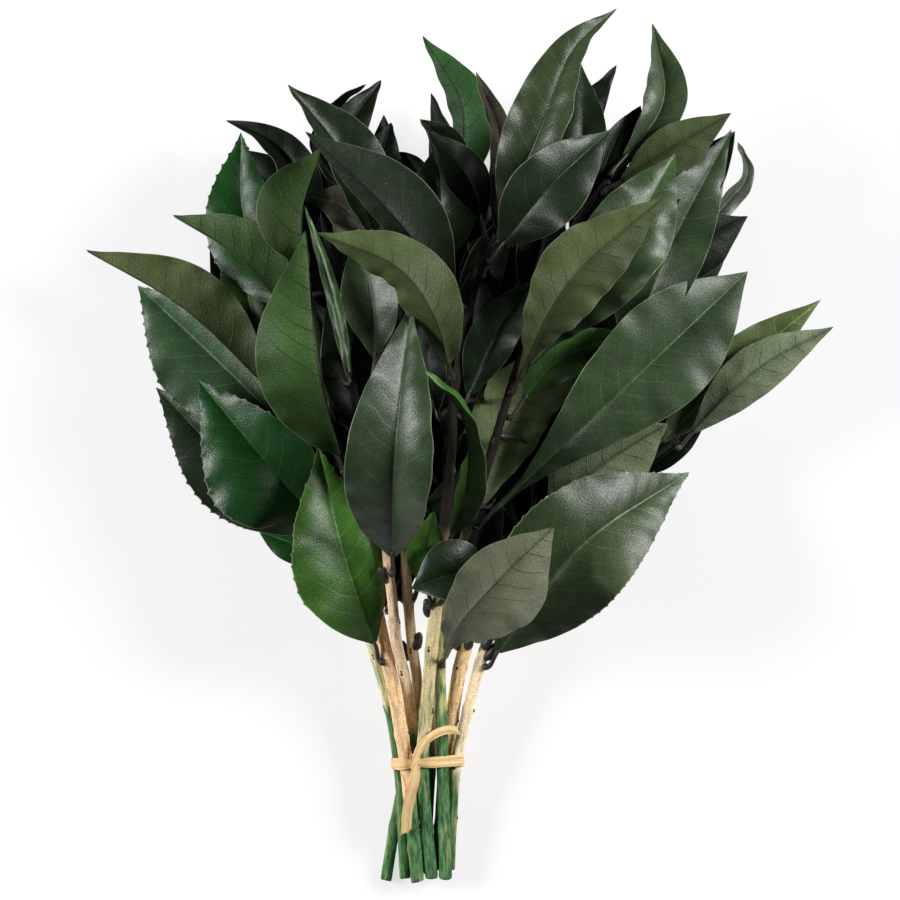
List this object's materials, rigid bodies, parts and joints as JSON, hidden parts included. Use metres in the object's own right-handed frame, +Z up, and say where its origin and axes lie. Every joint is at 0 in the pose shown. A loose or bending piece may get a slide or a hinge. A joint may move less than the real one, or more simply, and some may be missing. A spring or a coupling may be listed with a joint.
{
  "type": "preserved osmanthus bunch",
  "caption": "Tied bunch of preserved osmanthus branches lying flat: bare cut stems fan out into large pointed glossy leaves, bound with a knotted raffia strip.",
  "frame": {"origin": "bottom centre of the bounding box: the middle of the bunch's length and width, on the surface that it lies on", "axes": "+Y from the cut stem ends to the leaf tips, +X to the right seen from above, +Z up from the surface"},
  "size_m": [0.301, 0.3516, 0.1004],
  "materials": {
    "leaf_dark": "preserved evergreen leaf, dyed dark bottle green, satin gloss on the upper side",
    "leaf_green": "preserved evergreen leaf, fresh mid green, satin",
    "leaf_olive": "preserved evergreen leaf, pale olive underside with dark net veins, matt",
    "leaf_grey": "preserved evergreen leaf, grey-green, soft sheen",
    "bark": "thin tan bark, dyed green towards the cut ends, matt",
    "raffia": "dry natural raffia strip with lengthwise fibres"
  },
  "bodies": {
    "root": {"stem_1": "bark", "stem_1_leaf_1": "leaf_dark", "stem_1_leaf_2": "leaf_green", "stem_1_leaf_3": "leaf_dark", "stem_1_leaf_4": "leaf_olive", "stem_1_leaf_5": "leaf_dark", "stem_2": "bark", "stem_2_leaf_1": "leaf_green", "stem_2_leaf_2": "leaf_green", "stem_2_leaf_3": "leaf_olive", "stem_2_leaf_4": "leaf_green", "stem_2_leaf_5": "leaf_green", "stem_2_leaf_6": "leaf_olive", "stem_3": "bark", "stem_3_leaf_1": "leaf_grey", "stem_3_leaf_2": "leaf_dark", "stem_3_leaf_3": "leaf_grey", "stem_4": "bark", "stem_4_leaf_1": "leaf_grey", "stem_4_leaf_2": "leaf_dark", "stem_4_leaf_3": "leaf_dark", "stem_4_leaf_4": "leaf_dark", "stem_4_leaf_5": "leaf_dark", "stem_5": "bark", "stem_5_leaf_1": "leaf_green", "stem_5_leaf_2": "leaf_green", "stem_5_leaf_3": "leaf_dark", "stem_5_leaf_4": "leaf_olive", "stem_5_leaf_5": "leaf_dark", "stem_5_leaf_6": "leaf_grey", "stem_5_leaf_7": "leaf_dark", "stem_5_leaf_8": "leaf_grey", "stem_6": "bark", "stem_6_leaf_1": "leaf_grey", "stem_6_leaf_2": "leaf_olive", "stem_6_leaf_3": "leaf_grey", "stem_6_leaf_4": "leaf_dark", "stem_6_leaf_5": "leaf_olive", "stem_6_leaf_6": "leaf_grey", "stem_6_leaf_7": "leaf_dark", "stem_6_leaf_8": "leaf_dark", "stem_6_leaf_9": "leaf_olive", "stem_6_leaf_10": "leaf_grey", "stem_7": "bark", "stem_7_leaf_1": "leaf_dark", "stem_7_leaf_2": "leaf_olive", "stem_7_leaf_3": "leaf_grey", "stem_7_leaf_4": "leaf_olive", "stem_8": "bark", "stem_8_leaf_1": "leaf_grey", "stem_8_leaf_2": "leaf_grey", "stem_8_leaf_3": "leaf_dark", "stem_8_leaf_4": "leaf_olive", "stem_8_leaf_5": "leaf_grey", "stem_9": "bark", "stem_9_leaf_1": "leaf_dark", "stem_9_leaf_2": "leaf_dark", "stem_9_leaf_3": "leaf_green", "stem_9_leaf_4": "leaf_dark", "raffia_tie": "raffia"}
  },
  "joints": []
}
